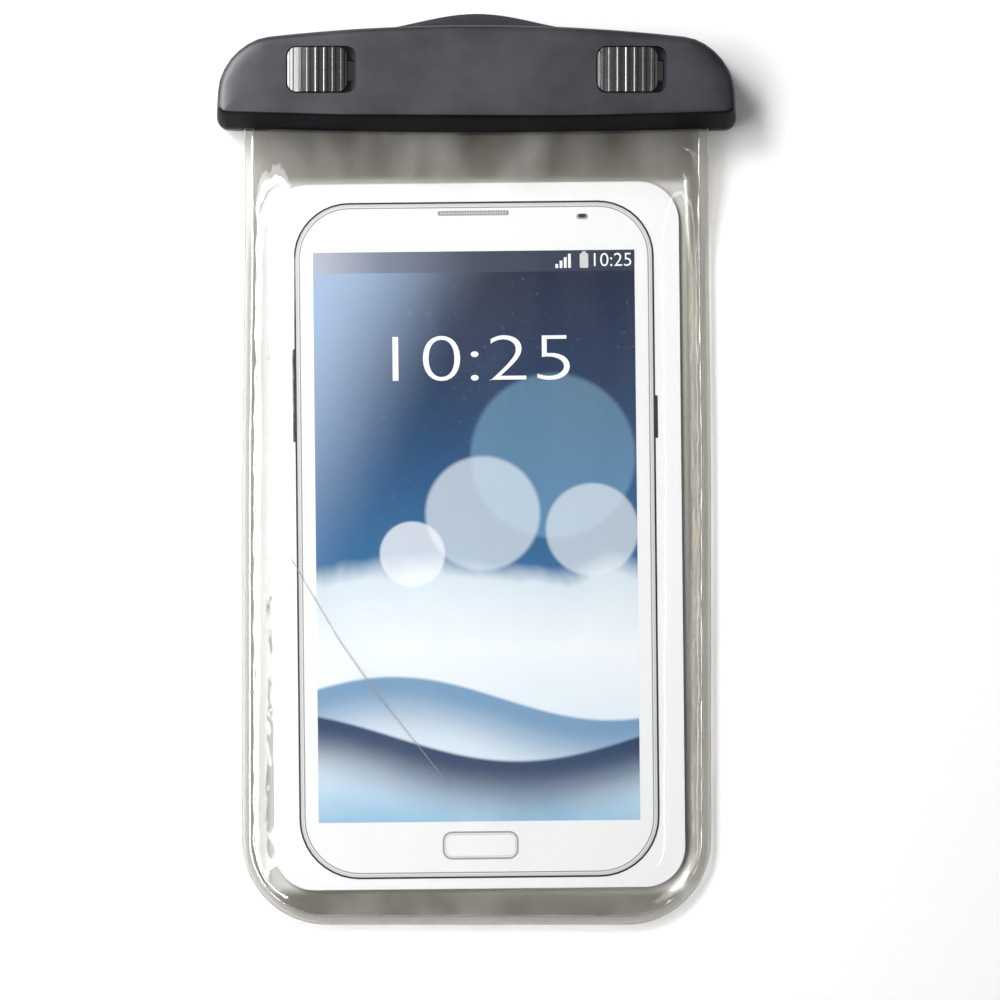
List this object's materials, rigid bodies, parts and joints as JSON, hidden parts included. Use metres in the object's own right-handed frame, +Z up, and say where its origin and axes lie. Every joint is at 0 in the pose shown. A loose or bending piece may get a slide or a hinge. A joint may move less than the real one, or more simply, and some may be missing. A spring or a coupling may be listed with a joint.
{
  "type": "waterproof phone pouch",
  "caption": "Clear film pouch for a phone, closed by a hinged plastic clip bar with two ribbed sliding latches, with a printed insert card inside.",
  "frame": {"origin": "on the surface it lies on, under the middle of its overall box", "axes": "+X to the right across the pouch, +Y from the closed end to the clip, +Z up through the front"},
  "size_m": [0.1158, 0.2038, 0.0151],
  "materials": {
    "clip_plastic": "fine matte moulded charcoal plastic",
    "latch_plastic": "satin moulded charcoal plastic",
    "clear_film": "clear glossy flexible film",
    "seal_rubber": "soft pale sealing strip",
    "card_paper": "printed coated card",
    "pin_steel": "drawn steel wire"
  },
  "bodies": {
    "pouch": {"back_jaw": "clip_plastic", "back_film": "clear_film", "front_film": "clear_film", "insert_card": "card_paper", "back_seal": "seal_rubber", "hinge_pin": "pin_steel"},
    "clip_front": {"front_jaw": "clip_plastic", "front_seal": "seal_rubber"},
    "left_latch": {"latch_left": "latch_plastic", "lock_plate_left": "latch_plastic"},
    "right_latch": {"latch_right": "latch_plastic", "lock_plate_right": "latch_plastic"}
  },
  "joints": [
    {"name": "clip_hinge", "type": "hinge", "parent": "pouch", "child": "clip_front", "pos_m": [0, 0.09625, 0.006], "axis": [-1, 0, 0], "range_deg": [0, 90]},
    {"name": "left_latch_slide", "type": "slide", "parent": "clip_front", "child": "left_latch", "axis": [1, 0, 0], "range_m": [0, 0.0018]},
    {"name": "right_latch_slide", "type": "slide", "parent": "clip_front", "child": "right_latch", "axis": [1, 0, 0], "range_m": [0, 0.0018]}
  ]
}
